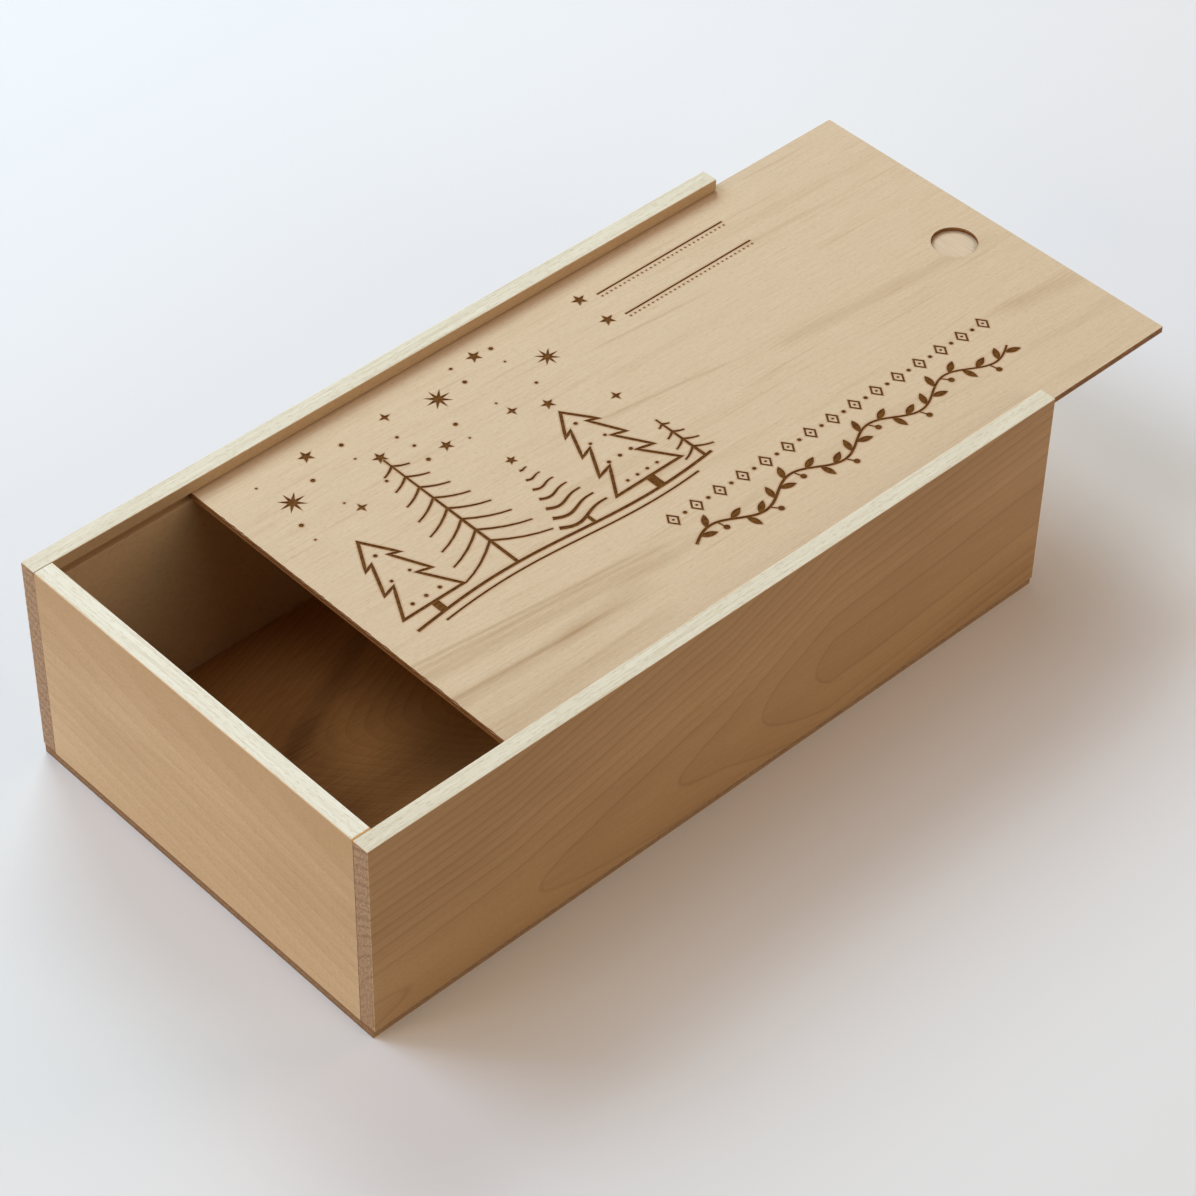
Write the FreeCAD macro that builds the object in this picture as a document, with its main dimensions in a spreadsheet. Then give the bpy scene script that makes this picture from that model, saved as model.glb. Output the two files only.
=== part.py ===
"""Wooden keepsake box with a sliding lid, built board by board.

Lengths are millimetres. X runs along the box, towards the end where the lid slides out. Y runs from the front
side to the rear side. Z points up from the underside of the bottom board, where the origin lies at the centre.
"""
import FreeCAD, Part
import os
import Sketcher

# Driving sizes: a name, a length and what it measures.
SIZES = (
    ("box_length", 360, "outside length of the box"),
    ("box_width", 200, "outside width of the box"),
    ("panel_height", 98, "height of the side panels above the bottom board"),
    ("side_thickness", 8, "thickness of the two long sides"),
    ("end_thickness", 8.5, "thickness of the two ends"),
    ("end_rounding", 0.8, "rounding of the closed end's outer top edge"),
    ("lip_height", 5.8, "wood left above the lid's groove"),
    ("side_groove_depth", 3.4, "depth of the lid's groove in the long sides"),
    ("end_groove_depth", 5.5, "depth of the lid's groove in the closed end"),
    ("lid_veneer_thickness", 0.8, "each outer veneer of the lid"),
    ("lid_core_thickness", 1.4, "middle ply of the lid"),
    ("lid_headroom", 0.4, "play above the lid in its groove"),
    ("lid_side_gap", 0.4, "play beside the lid, in each groove"),
    ("lid_end_gap", 0.5, "play in front of the lid when it is shut"),
    ("lid_opening", 72.2, "how far the lid stands open at rest"),
    ("notch_diameter", 20, "round thumb notch in the lid"),
    ("notch_depth", 1.8, "depth of the thumb notch"),
    ("notch_from_end", 22.5, "thumb notch centre to the lid's leading edge"),
    ("bottom_veneer_thickness", 1, "each outer veneer of the bottom board"),
    ("bottom_core_thickness", 2, "middle ply of the bottom board"),
    ("bottom_side_inset", 1, "bottom board's edge behind the long sides' outer faces"),
    ("pin_diameter", 1.2, "shank of a panel pin"),
    ("pin_length", 16, "panel pin from head to tip"),
    ("pin_head_diameter", 2.2, "head of a panel pin"),
    ("pin_head_thickness", 0.5, "thickness of a pin's head"),
    ("pin_recess", 0.2, "how far the heads are punched below the underside"),
    ("pin_clearance", 0.05, "play round a pin"),
    ("overrun", 1, "how far a cut runs past the wood"),
)

# Counts and shares.
PINS_PER_SIDE = 4
PINS_PER_END = 2
PIN_DEPTH_SHARE = 0.4

# Sizes that follow from the driving ones.
BOTTOM_THICKNESS = "(2 * Sizes.bottom_veneer_thickness + Sizes.bottom_core_thickness)"
LID_THICKNESS = "(2 * Sizes.lid_veneer_thickness + Sizes.lid_core_thickness)"
GROOVE_HEIGHT = f"({LID_THICKNESS} + Sizes.lid_headroom)"
GROOVE_FLOOR = f"(Sizes.panel_height - Sizes.lip_height - {GROOVE_HEIGHT})"
INNER_LENGTH = "(Sizes.box_length - 2 * Sizes.end_thickness)"
INNER_WIDTH = "(Sizes.box_width - 2 * Sizes.side_thickness)"
GROOVE_LENGTH = "(Sizes.box_length - Sizes.end_thickness + Sizes.end_groove_depth)"
LID_LENGTH = f"({GROOVE_LENGTH} - Sizes.lid_end_gap)"
LID_WIDTH = f"({INNER_WIDTH} + 2 * (Sizes.side_groove_depth - Sizes.lid_side_gap))"
LID_CENTRE = f"((Sizes.box_length - {LID_LENGTH}) / 2 + Sizes.lid_opening)"
LID_UNDERSIDE = f"({BOTTOM_THICKNESS} + {GROOVE_FLOOR})"
PIN_SEAT = "(Sizes.pin_recess + Sizes.pin_head_thickness)"
PIN_HOLE_DIAMETER = "(Sizes.pin_diameter + 2 * Sizes.pin_clearance)"
PIN_HOLE_DEPTH = f"(Sizes.pin_recess + Sizes.pin_length + Sizes.pin_clearance - {BOTTOM_THICKNESS})"


def size_sheet(doc):
    """The spreadsheet that every piece takes its sizes from."""
    sheet = doc.addObject("Spreadsheet::Sheet", "Sizes")
    for row, (alias, length, meaning) in enumerate(SIZES, 1):
        sheet.set(f"A{row}", meaning)
        sheet.set(f"B{row}", str(length))
        sheet.setAlias(f"B{row}", alias)
    doc.recompute()


def bind(item, expressions):
    """Tie properties of an object to the sheet."""
    for path, expression in expressions.items():
        item.setExpression(path, expression)


def new_body(doc, label, x="0", y="0", z="0"):
    """An empty board, with its own origin at the given place."""
    body = doc.addObject("PartDesign::Body", label)
    body.Label = label
    body.AllowCompound = True
    bind(body, {"Placement.Base.x": x, "Placement.Base.y": y, "Placement.Base.z": z})
    return body


def new_sketch(body, name, plane, right="0", up="0", out="0"):
    """An empty sketch on one of the body's own planes, moved within that plane and out of it."""
    sketch = body.newObject("Sketcher::SketchObject", name)
    support = next(item for item in body.Origin.OriginFeatures if item.Role == plane)
    sketch.AttachmentSupport = [(support, "")]
    sketch.MapMode = "FlatFace"
    offset = "AttachmentOffset.Base."
    bind(sketch, {offset + "x": right, offset + "y": up, offset + "z": out})
    return sketch


def constrain(sketch, name, expression, *geometry):
    """A named measure of the sketch that follows the sheet."""
    index = sketch.addConstraint(Sketcher.Constraint(*geometry, 1))
    sketch.renameConstraint(index, name)
    sketch.setExpression(f"Constraints.{name}", expression)


def rectangle(body, name, plane, left, low, width, height):
    """A rectangle drawn from its lower left corner."""
    sketch = new_sketch(body, name, plane, left, low)
    corners = [FreeCAD.Vector(*corner, 0) for corner in ((0, 0), (1, 0), (1, 1), (0, 1))]
    for side in range(4):
        sketch.addGeometry(Part.LineSegment(corners[side], corners[(side + 1) % 4]))
    for side in range(4):
        sketch.addConstraint(Sketcher.Constraint("Coincident", side, 2, (side + 1) % 4, 1))
        sketch.addConstraint(Sketcher.Constraint(("Horizontal", "Vertical")[side % 2], side))
    sketch.addConstraint(Sketcher.Constraint("Coincident", 0, 1, -1, 1))
    constrain(sketch, "width", width, "DistanceX", 0, 1, 0, 2)
    constrain(sketch, "height", height, "DistanceY", 1, 1, 1, 2)
    return sketch


def circles(body, name, places, diameter, level="0"):
    """Circles of one diameter on a level plane, at places given from the body's origin."""
    sketch = new_sketch(body, name, "XY_Plane", out=level)
    for index, (x, y) in enumerate(places):
        sketch.addGeometry(Part.Circle(FreeCAD.Vector(), FreeCAD.Vector(0, 0, 1), 1))
        constrain(sketch, f"x_{index}", x, "DistanceX", -1, 1, index, 3)
        constrain(sketch, f"y_{index}", y, "DistanceY", -1, 1, index, 3)
        constrain(sketch, f"diameter_{index}", diameter, "Diameter", index)
    return sketch


def pad(body, sketch, length, backwards=False):
    """Wood of the given length on a sketch, along its normal or backwards."""
    feature = body.newObject("PartDesign::Pad", sketch.Label + "_pad")
    feature.Profile = sketch
    feature.Reversed = backwards
    feature.setExpression("Length", length)
    body.Document.recompute()
    return feature


def pocket(body, sketch, depth, along_normal):
    """A cut of the given depth from a sketch, which has to take wood away."""
    volume = body.Shape.Volume
    feature = body.newObject("PartDesign::Pocket", sketch.Label + "_cut")
    feature.Profile = sketch
    feature.Reversed = along_normal
    feature.setExpression("Length", depth)
    body.Document.recompute()
    if not body.Shape.Volume < volume:
        raise RuntimeError(f"{feature.Label} cuts nothing from {body.Label}")


def round_top_edge(body, radius):
    """Round the upper long edge that lies furthest from the body's origin."""
    wood = body.Tip
    top = wood.Shape.BoundBox.ZMax
    edges = wood.Shape.Edges
    level = [index for index, edge in enumerate(edges) if edge.BoundBox.ZMin > top - Part.Precision.confusion()]
    outer = max(level, key=lambda index: edges[index].BoundBox.YLength + abs(edges[index].CenterOfMass.x))
    feature = body.newObject("PartDesign::Fillet", body.Label + "_rounding")
    feature.Base = (wood, [f"Edge{outer + 1}"])
    feature.setExpression("Radius", radius)
    body.Document.recompute()


def bays(count, length):
    """Places along a length, one in the middle of each of the equal bays that it is divided into."""
    return [f"({length} * {(2 * index + 1 - count) / (2 * count)})" for index in range(count)]


def side_pin_places(outward):
    """Pins that go up into one long side, seen from the middle of the box."""
    line = f"({outward} * ({INNER_WIDTH} / 2 + Sizes.side_thickness * {PIN_DEPTH_SHARE}))"
    return [(x, line) for x in bays(PINS_PER_SIDE, "Sizes.box_length")]


def end_pin_places(outward):
    """Pins that go up into one end, seen from the middle of the box."""
    line = f"({outward} * ({INNER_LENGTH} / 2 + Sizes.end_thickness * {PIN_DEPTH_SHARE}))"
    return [(line, y) for y in bays(PINS_PER_END, INNER_WIDTH)]


def all_pin_places():
    places = []
    for outward in (-1, 1):
        places += side_pin_places(outward) + end_pin_places(outward)
    return places


def drill_for_pins(body, places):
    """Blind holes in a panel's lower edge, for places given from the panel's own origin."""
    pocket(body, circles(body, body.Label + "_holes", places, PIN_HOLE_DIAMETER), PIN_HOLE_DEPTH, True)


def side_panel(doc, label, outward):
    """A long side with a groove that stops inside the closed end and runs out at the other."""
    inner_face = f"({outward} * {INNER_WIDTH} / 2)"
    body = new_body(doc, label, y=inner_face, z=BOTTOM_THICKNESS)
    left = "-Sizes.box_length / 2"
    board = rectangle(body, label + "_board", "XZ_Plane", left, "0", "Sizes.box_length", "Sizes.panel_height")
    pad(body, board, "Sizes.side_thickness", backwards=outward > 0)
    start = f"Sizes.box_length / 2 - {GROOVE_LENGTH}"
    reach = f"{GROOVE_LENGTH} + Sizes.overrun"
    groove = rectangle(body, label + "_groove", "XZ_Plane", start, GROOVE_FLOOR, reach, GROOVE_HEIGHT)
    pocket(body, groove, "Sizes.side_groove_depth", outward < 0)
    drill_for_pins(body, [(x, f"{y} - {inner_face}") for x, y in side_pin_places(outward)])
    return body


def end_panel(doc, label, outward, height):
    """A plain end board between the long sides."""
    inner_face = f"({outward} * {INNER_LENGTH} / 2)"
    body = new_body(doc, label, x=inner_face, z=BOTTOM_THICKNESS)
    board = rectangle(body, label + "_board", "YZ_Plane", f"-{INNER_WIDTH} / 2", "0", INNER_WIDTH, height)
    pad(body, board, "Sizes.end_thickness", backwards=outward < 0)
    drill_for_pins(body, [(f"{x} - {inner_face}", y) for x, y in end_pin_places(outward)])
    return body


def closed_end_panel(doc):
    """The full-height end, grooved on its inside for the lid's edge."""
    body = end_panel(doc, "closed_end_panel", -1, "Sizes.panel_height")
    left = f"-{INNER_WIDTH} / 2 - Sizes.overrun"
    reach = f"{INNER_WIDTH} + 2 * Sizes.overrun"
    groove = rectangle(body, "closed_end_groove", "YZ_Plane", left, GROOVE_FLOOR, reach, GROOVE_HEIGHT)
    pocket(body, groove, "Sizes.end_groove_depth", False)
    round_top_edge(body, "Sizes.end_rounding")
    return body


def ply(doc, label, length, width, thickness, x, z):
    """One veneer of a plywood board, centred on its own origin."""
    body = new_body(doc, label, x=x, z=z)
    sheet = rectangle(body, label + "_sheet", "XY_Plane", f"-{length} / 2", f"-{width} / 2", length, width)
    pad(body, sheet, thickness)
    return body


def bottom_board(doc):
    """Three plies under the frame, pinned up into the panels."""
    veneer, core = "Sizes.bottom_veneer_thickness", "Sizes.bottom_core_thickness"
    width = "(Sizes.box_width - 2 * Sizes.bottom_side_inset)"
    plies = []
    for label, thickness, z in (
        ("bottom_outer_veneer", veneer, "0"),
        ("bottom_core", core, veneer),
        ("bottom_inner_veneer", veneer, f"{veneer} + {core}"),
    ):
        body = ply(doc, label, "Sizes.box_length", width, thickness, "0", z)
        holes = circles(body, label + "_holes", all_pin_places(), PIN_HOLE_DIAMETER)
        pocket(body, holes, f"{thickness} + Sizes.overrun", True)
        plies.append(body)
    head_hole = "Sizes.pin_head_diameter + 2 * Sizes.pin_clearance"
    heads = circles(plies[0], "head_holes", all_pin_places(), head_hole)
    pocket(plies[0], heads, PIN_SEAT, True)
    return plies


def bottom_pins(doc):
    """Headed pins through the bottom board, each a solid of its own."""
    body = new_body(doc, "bottom_pins")
    places = all_pin_places()
    heads = circles(body, "pin_heads", places, "Sizes.pin_head_diameter", "Sizes.pin_recess")
    pad(body, heads, "Sizes.pin_head_thickness")
    shanks = circles(body, "pin_shanks", places, "Sizes.pin_diameter", "Sizes.pin_recess")
    pad(body, shanks, "Sizes.pin_length")
    return body


def lid(doc):
    """Three plies that slide in the grooves, with a thumb notch through the upper one."""
    veneer, core = "Sizes.lid_veneer_thickness", "Sizes.lid_core_thickness"
    notch = [(f"{LID_LENGTH} / 2 - Sizes.notch_from_end", "0")]
    plies = []
    for label, thickness, rise in (
        ("lid_back_veneer", veneer, "0"),
        ("lid_core", core, veneer),
        ("lid_face_veneer", veneer, f"{veneer} + {core}"),
    ):
        z = f"{LID_UNDERSIDE} + {rise}"
        plies.append(ply(doc, label, LID_LENGTH, LID_WIDTH, thickness, LID_CENTRE, z))
    for body, thickness, depth in (
        (plies[1], core, f"Sizes.notch_depth - {veneer}"),
        (plies[2], veneer, f"{veneer} + Sizes.overrun"),
    ):
        outline = circles(body, body.Label + "_notch", notch, "Sizes.notch_diameter", thickness)
        pocket(body, outline, depth, False)
    return plies


def check(doc, pieces):
    """Stop if any object failed or any piece is not a sound solid."""
    for item in doc.Objects:
        if "Invalid" in item.State or "Error" in item.State:
            raise RuntimeError(f"{item.Label} failed: {item.State}")
    for piece in pieces:
        if piece.Shape.isNull() or not piece.Shape.isValid() or not piece.Shape.Solids:
            raise RuntimeError(f"{piece.Label} is not a sound solid")


def main():
    doc = FreeCAD.newDocument("sliding_lid_box")
    size_sheet(doc)
    pieces = [side_panel(doc, "front_side_panel", -1), side_panel(doc, "rear_side_panel", 1)]
    pieces += [closed_end_panel(doc), end_panel(doc, "open_end_panel", 1, GROOVE_FLOOR)]
    pieces += bottom_board(doc)
    pieces.append(bottom_pins(doc))
    pieces += lid(doc)
    doc.recompute()
    check(doc, pieces)
    os.makedirs("parts", exist_ok=True)
    for piece in pieces:
        piece.Shape.exportStep(os.path.join("parts", piece.Label + ".step"))


main()
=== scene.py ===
"""Looks of a wooden gift box with a sliding lid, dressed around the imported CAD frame.

The frame is in metres. Grain and the burnt decoration are written in millimetres, in the frame's own axes.
"""

import math
import random
from typing import NamedTuple

import bmesh
import bpy
from mathutils import Matrix, Vector
from mathutils.geometry import delaunay_2d_cdt
from mathutils.kdtree import KDTree

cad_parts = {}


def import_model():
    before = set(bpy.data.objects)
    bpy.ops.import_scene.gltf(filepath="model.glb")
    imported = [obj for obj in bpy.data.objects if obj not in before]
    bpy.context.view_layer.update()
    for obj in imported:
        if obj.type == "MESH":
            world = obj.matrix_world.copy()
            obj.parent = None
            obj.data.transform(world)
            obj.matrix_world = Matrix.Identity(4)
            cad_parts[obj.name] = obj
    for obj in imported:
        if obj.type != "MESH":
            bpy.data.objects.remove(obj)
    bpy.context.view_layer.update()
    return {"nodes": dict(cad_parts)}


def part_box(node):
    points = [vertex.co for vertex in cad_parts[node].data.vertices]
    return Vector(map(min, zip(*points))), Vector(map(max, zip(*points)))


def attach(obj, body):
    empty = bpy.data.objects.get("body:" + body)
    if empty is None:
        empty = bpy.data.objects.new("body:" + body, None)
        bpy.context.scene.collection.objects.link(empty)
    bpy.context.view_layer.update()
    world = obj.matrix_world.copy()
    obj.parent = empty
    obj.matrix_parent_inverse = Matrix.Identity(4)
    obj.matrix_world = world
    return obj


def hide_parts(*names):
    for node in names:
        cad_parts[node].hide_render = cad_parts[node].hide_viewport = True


MM = 0.001
UP = (0, 0, 1)

# Camera, fitted to the straight edges of the photographed box.
PHOTO_PIXELS = 1196
FOCAL_PIXELS = 3695.52
SENSOR_WIDTH = 36.0
CAMERA_AZIMUTH = -44.0575
CAMERA_ELEVATION = 43.8701
CAMERA_ROLL = 1.1812
CAMERA_DISTANCE = 1.45673
CAMERA_TARGET = Vector((0.00492, -0.02185, 0.05))

# The thumb notch, as the frame has it.
NOTCH_FROM_END = 22.5
NOTCH_DIAMETER = 20.0
NOTCH_STEPS = 96
# Reach of the brown cutter marks and painted shadow round the foot of the notch's wall.
CUTTER_MARK_AND_SHADOW_REACH = 2.4

# The burnt decoration.
BURN_DEPTH = 0.3
SCORCH_REACH = 0.9
SCORCH_AT_EDGE = 0.5
LINE_WIDTH = 1.4
STEP = 3.0

# How narrow a star is between its points, as a share of its radius, by the number of its points.
STAR_WAISTS = {4: 0.35, 5: 0.42, 8: 0.32}

# The flat triangulation: what it keeps, how near points are one, and the order of its first two outlines.
ALL_TRIANGLES = 0
MERGE_WITHIN = 1e-5
SHEET = 0
NOTCH = 1
TEAR_SEED = 7

# Softened edges of the boards that the frame leaves sharp.
SHARP_BOARDS = ("front_side_panel", "rear_side_panel", "open_end_panel")
ARRIS = 0.4
ARRIS_STEPS = 2
ARRIS_LEAST_LENGTH = 2.0
ARRIS_LEAST_ANGLE = math.radians(40)
WELD_WITHIN = 0.001
FLAT_WITHIN = math.radians(1)

# Soft lights, each with its place, power in watts and colour, and the fill from all round.
LIGHTS_AIM = Vector((0.0, 0.0, 0.05))
LIGHTS = {
    "window_left": ((-0.8, 1.5, 1.6), 19.4, (0.66, 0.81, 1.00)),
    "window_right": ((0.8, 1.5, 1.6), 30.6, (0.79, 0.94, 0.98)),
    "skylight": ((-0.95, 0.65, 2.2), 13.4, (0.89, 0.89, 0.97)),
    "left_light": ((-1.8, 0.1, 0.8), 9.3, (1.00, 0.74, 0.38)),
    "right_light": ((1.7, -0.5, 1.2), 9.0, (1.00, 0.55, 0.34)),
    "front_light": ((0.3, -1.6, 0.8), 8.3, (1.00, 0.98, 0.84)),
}
FILL_COLOUR = (1.0, 0.76, 0.62, 1.0)
FILL_STRENGTH = 0.06


def tone(red, green, blue):
    """A colour in screen values of 0 to 255, as the linear colour that a shader takes."""

    def linear(value):
        share = value / 255
        return share / 12.92 if share <= 0.04045 else ((share + 0.055) / 1.055) ** 2.4

    return (linear(red), linear(green), linear(blue), 1.0)


class NodeTree:
    """Nodes whose inputs are fed with values or with other nodes' outputs."""

    def __init__(self, tree):
        self.tree = tree

    def feed(self, socket, value):
        if isinstance(value, bpy.types.NodeSocket):
            self.tree.links.new(value, socket)
        else:
            socket.default_value = value

    def add(self, kind, feeds, **settings):
        made = self.tree.nodes.new(kind)
        for setting, value in settings.items():
            setattr(made, setting, value)
        for key, value in feeds.items():
            self.feed(made.inputs[key], value)
        return made


class Shading(NodeTree):
    """One procedural material. Each call adds nodes, feeds their inputs and gives back an output."""

    def __init__(self, name):
        self.material = bpy.data.materials.new(name)
        self.material.use_nodes = True
        super().__init__(self.material.node_tree)
        self.shader = self.tree.nodes["Principled BSDF"]
        self.place = self.node("TexCoord", {})

    def node(self, kind, feeds, **settings):
        return self.add("ShaderNode" + kind, feeds, **settings)

    def math(self, operation, first, second=0.0, third=0.0):
        return self.node("Math", {0: first, 1: second, 2: third}, operation=operation).outputs[0]

    def scaled(self, vector, scale):
        return self.node("VectorMath", {0: vector, 1: scale}, operation="MULTIPLY").outputs[0]

    def dot(self, vector, direction):
        """How far a vector reaches along a direction."""
        return self.node("VectorMath", {0: vector, 1: direction}, operation="DOT_PRODUCT").outputs["Value"]

    def fade(self, value, low, high, start=0.0, end=1.0):
        """Goes smoothly from start at low to end at high."""
        feeds = {"Value": value, "From Min": low, "From Max": high, "To Min": start, "To Max": end}
        return self.node("MapRange", feeds, interpolation_type="SMOOTHSTEP").outputs[0]

    def ramp(self, value, low, high, start=0.0, end=1.0):
        """Goes evenly from start at low to end at high."""
        feeds = {"Value": value, "From Min": low, "From Max": high, "To Min": start, "To Max": end}
        return self.node("MapRange", feeds).outputs[0]

    def noise(self, vector, per_mm, detail=2.0, roughness=0.5):
        """Noise with its own number of waves in a millimetre along each axis."""
        place = self.scaled(vector, per_mm)
        feeds = {"Vector": place, "Scale": 1.0, "Detail": detail, "Roughness": roughness}
        return self.node("TexNoise", feeds).outputs[0]

    def mix(self, factor, first, second):
        made = self.node("Mix", {0: factor, 6: first, 7: second}, data_type="RGBA")
        return made.outputs[2]

    def tint(self, colour, mask, strength, other):
        """Takes a colour towards another where a mask shows, at most by a strength."""
        return self.mix(self.math("MULTIPLY", mask, strength), colour, other)

    def millimetres(self):
        return self.scaled(self.place.outputs["Object"], (1 / MM, 1 / MM, 1 / MM))

    def facing(self):
        """The surface's normal in the object's axes, as three outputs."""
        return self.node("SeparateXYZ", {0: self.place.outputs["Normal"]}).outputs

    def squarely(self, share):
        """1 on faces that look along an axis, 0 on those well turned from it, by the normal's share of it."""
        return self.fade(share, 0.5, 0.9)

    def finish(self, colour, roughness, relief, relief_depth, specular=0.25):
        """Joins colour, roughness and relief to the shader, and gives back the material."""
        feeds = {"Height": relief, "Strength": 1.0, "Distance": relief_depth * MM}
        bump = self.node("Bump", feeds)
        self.feed(self.shader.inputs["Base Color"], colour)
        self.feed(self.shader.inputs["Roughness"], roughness)
        self.feed(self.shader.inputs["Normal"], bump.outputs["Normal"])
        self.shader.inputs["Specular IOR Level"].default_value = specular
        return self.material


class Rings(NamedTuple):
    """Growth rings where a board or a veneer was cut from the tree, in millimetres.

    The pith lies outside the outer face by its depth, at a height of centre plus tilt for each millimetre
    along the grain. A drift is a stretch along the grain and the number of rings that the cut crosses there.
    """

    centre: float
    tilt: float
    drifts: tuple
    seed: float
    pith_depth: float = 25.0
    spacing: float = 8.3


class BoardTones(NamedTuple):
    """Colours of a board's faces and of its top edge, each from pale to deep; the top edge's paler colours
    are a painted lit copy of the board's wood.
    """

    pale: tuple
    deep: tuple
    painted_lit_rim_pale: tuple
    painted_lit_rim_deep: tuple


class Board(NamedTuple):
    """One solid board: its grain's direction, the way in from its outer face, its rings and its colours.

    The contrast is how strongly the rings show. The painted head shade is how much deeper the wood's colour
    is at the top than at the foot: painted shade at the top and painted light at the foot. Open joints show
    as lines at both ends of the top edge.
    """

    along: tuple
    inward: tuple
    rings: Rings
    contrast: float
    painted_head_shade: float
    tones: BoardTones
    open_joints: bool = False


# The side boards' faces are darker and warmer than the wood under light, as painted shade; their top edge is
# a painted lit copy of the wood.
SIDE_TONES = BoardTones(
    pale=tone(191, 150, 105),
    deep=tone(170, 129, 86),
    painted_lit_rim_pale=tone(232, 226, 205),
    painted_lit_rim_deep=tone(208, 196, 167),
)
# The end boards' top edge is a painted lit copy of the wood, paler than their faces.
END_TONES = BoardTones(
    pale=tone(229, 199, 160),
    deep=tone(206, 171, 131),
    painted_lit_rim_pale=tone(243, 239, 222),
    painted_lit_rim_deep=tone(219, 210, 184),
)
INNER_PALE = tone(200, 168, 130)
RING_LINE = tone(138, 102, 66)
END_GRAIN_PALE = tone(196, 162, 129)
END_GRAIN_DEEP = tone(150, 119, 93)
# Pale worn fibres together with a painted highlight on the rounded edges.
WORN_AND_HIGHLIT_ARRIS = tone(238, 206, 166)
JOINT_GAP = tone(92, 66, 44)
GLUE_LINE = tone(204, 154, 90)
# Brown cutter burn together with painted shadow at the foot of the notch's wall.
CUTTER_MARK_AND_SHADOW = tone(142, 90, 44)
WIRE_BRIGHT = tone(196, 194, 190)
WIRE_GRIMY = tone(132, 126, 118)
PAPER_PALE = tone(238, 240, 243)
PAPER_DEEP = tone(234, 236, 239)
CHAR_DARK = tone(92, 52, 11)
CHAR_PALE = tone(118, 76, 19)
SCORCH = tone(164, 102, 46)

BOARDS = {
    "front_side_panel": Board(
        along=(1, 0, 0),
        inward=(0, 1, 0),
        rings=Rings(
            centre=30.3,
            tilt=0.097,
            drifts=((-180, -130, 0.3), (-112, 0, -1.55), (0, 58, -1.95)),
            seed=0.9,
        ),
        contrast=0.36,
        painted_head_shade=0.2,
        tones=SIDE_TONES,
    ),
    "rear_side_panel": Board(
        along=(-1, 0, 0),
        inward=(0, -1, 0),
        rings=Rings(centre=-40.0, tilt=-0.03, drifts=((-150, 60, -1.2), (60, 180, 0.8)), seed=0.3),
        contrast=0.22,
        painted_head_shade=0.2,
        tones=SIDE_TONES,
    ),
    "closed_end_panel": Board(
        along=(0, -1, 0),
        inward=(1, 0, 0),
        rings=Rings(centre=101.0, tilt=0.0, drifts=((-100, 100, -4.2),), seed=0.1),
        contrast=0.05,
        painted_head_shade=0.55,
        tones=END_TONES,
        open_joints=True,
    ),
    "open_end_panel": Board(
        along=(0, 1, 0),
        inward=(-1, 0, 0),
        rings=Rings(centre=20.0, tilt=0.06, drifts=((-80, 70, -2.4),), seed=0.55),
        contrast=0.3,
        painted_head_shade=0.3,
        tones=END_TONES,
    ),
}


def span(node, direction):
    """How far a node of the frame reaches back and forward along one of the axes, in millimetres."""
    ends = [corner.dot(Vector(direction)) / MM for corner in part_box(node)]
    return min(ends), max(ends)


def board_axes(sh, board, outer_face):
    """A point's place along the grain, in from the outer face and up, as one vector and three outputs."""
    place = sh.millimetres()
    along = sh.dot(place, board.along)
    depth = sh.math("SUBTRACT", sh.dot(place, board.inward), outer_face)
    height = sh.node("SeparateXYZ", {0: place}).outputs["Z"]
    vector = sh.node("CombineXYZ", {"X": along, "Y": depth, "Z": height}).outputs[0]
    return vector, along, depth, height


def growth_rings(sh, rings, vector, along, depth, height):
    """Dark lines where rings meet the surface, and the ring's own shade from 0, early wood, to 1, late wood.

    Away from the middle of the figure a finer line lies between each two.
    """
    least_slope = 0.02
    wave = 5.0
    trees_apart = 900
    line_reach = 1.3
    fine_reach = 0.9
    fine_strength = 0.8
    fine_from = 14.0
    fine_by = 36.0
    shifted = sh.node("VectorMath", {0: vector, 1: (rings.seed * trees_apart, 0, 0)}).outputs[0]
    wander = sh.noise(shifted, (0.011, 0.03, 0.03))
    wander = sh.math("MULTIPLY_ADD", wander, wave, -wave / 2 - rings.centre)
    lifted = sh.math("ADD", height, wander)
    off_centre = sh.math("MULTIPLY_ADD", along, -rings.tilt, lifted)
    from_pith = sh.math("ADD", depth, rings.pith_depth)
    squares = sh.math("MULTIPLY", off_centre, off_centre)
    radius = sh.math("SQRT", sh.math("MULTIPLY_ADD", from_pith, from_pith, squares))
    ring = sh.math("MULTIPLY_ADD", radius, 1 / rings.spacing, rings.seed - rings.pith_depth / rings.spacing)
    for start, end, crossed in rings.drifts:
        ring = sh.math("ADD", ring, sh.ramp(along, start, end, 0.0, crossed))
    share = sh.math("FRACT", ring)
    to_line = sh.math("MINIMUM", share, sh.math("SUBTRACT", 1.0, share))
    to_half = sh.math("SUBTRACT", 0.5, to_line)
    slope = sh.math("DIVIDE", off_centre, radius)
    slope = sh.math("MULTIPLY", slope, 1 / rings.spacing)
    slope = sh.math("SQRT", sh.math("MULTIPLY_ADD", slope, slope, least_slope**2))
    line = sh.fade(sh.math("DIVIDE", to_line, slope), 0.0, line_reach, 1.0, 0.0)
    fine = sh.fade(sh.math("DIVIDE", to_half, slope), 0.0, fine_reach, fine_strength, 0.0)
    fine = sh.math("MULTIPLY", fine, sh.fade(sh.math("ABSOLUTE", off_centre), fine_from, fine_by))
    return sh.math("MAXIMUM", line, fine), sh.fade(share, 0.2, 1.0)


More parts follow.
